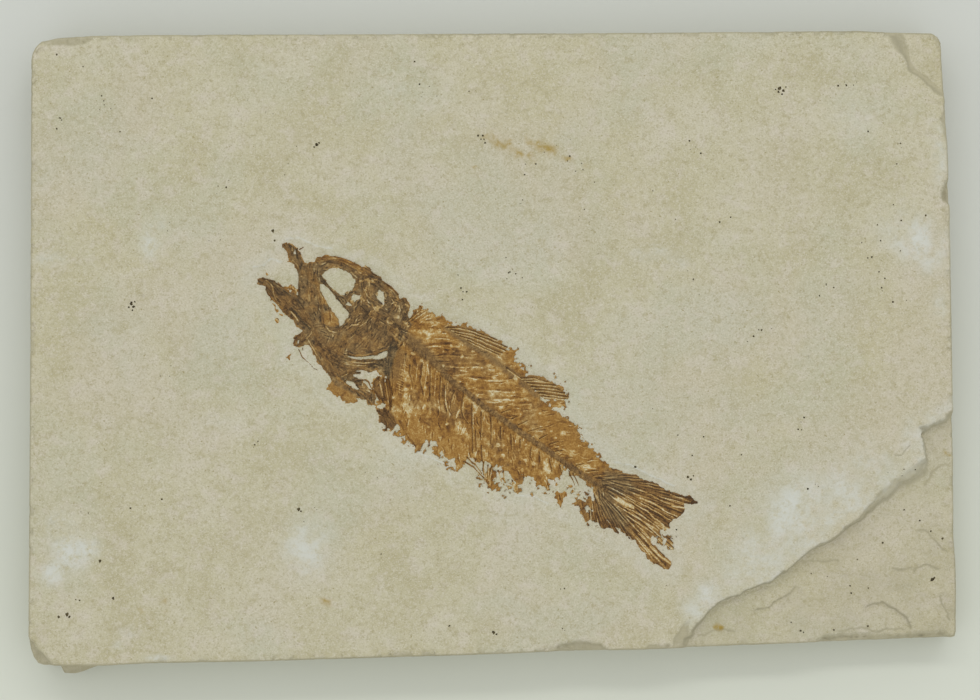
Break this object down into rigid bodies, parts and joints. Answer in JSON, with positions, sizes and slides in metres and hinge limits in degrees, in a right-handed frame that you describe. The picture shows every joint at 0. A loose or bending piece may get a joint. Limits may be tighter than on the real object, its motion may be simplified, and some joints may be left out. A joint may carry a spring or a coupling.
{
  "type": "fossil fish slab",
  "caption": "Flat pale limestone plate with a pressed fossil fish lying slantwise on its face, one corner broken down to a lower ledge.",
  "frame": {"origin": "middle of the bounding box, on the underside of the plate", "axes": "+X along the plate's long side towards the fish's tail, +Y towards the fish's back, +Z out of the face that shows the fish"},
  "size_m": [0.1544, 0.1064, 0.0108],
  "materials": {
    "limestone": "matt, smooth split face with fine pits",
    "bone": "dark brown mineral, satin",
    "skin_film": "rust-brown mineral film, matt",
    "fin_rays": "brown mineral, matt"
  },
  "bodies": {
    "root": {"slab": "limestone", "skull": "bone", "lower_jaw": "bone", "gill_cover": "bone", "throat": "bone", "shoulder": "bone", "trunk": "skin_film", "front_back_fin": "fin_rays", "rear_back_fin": "fin_rays", "belly_fin": "fin_rays", "tail_fin": "fin_rays"}
  },
  "joints": []
}
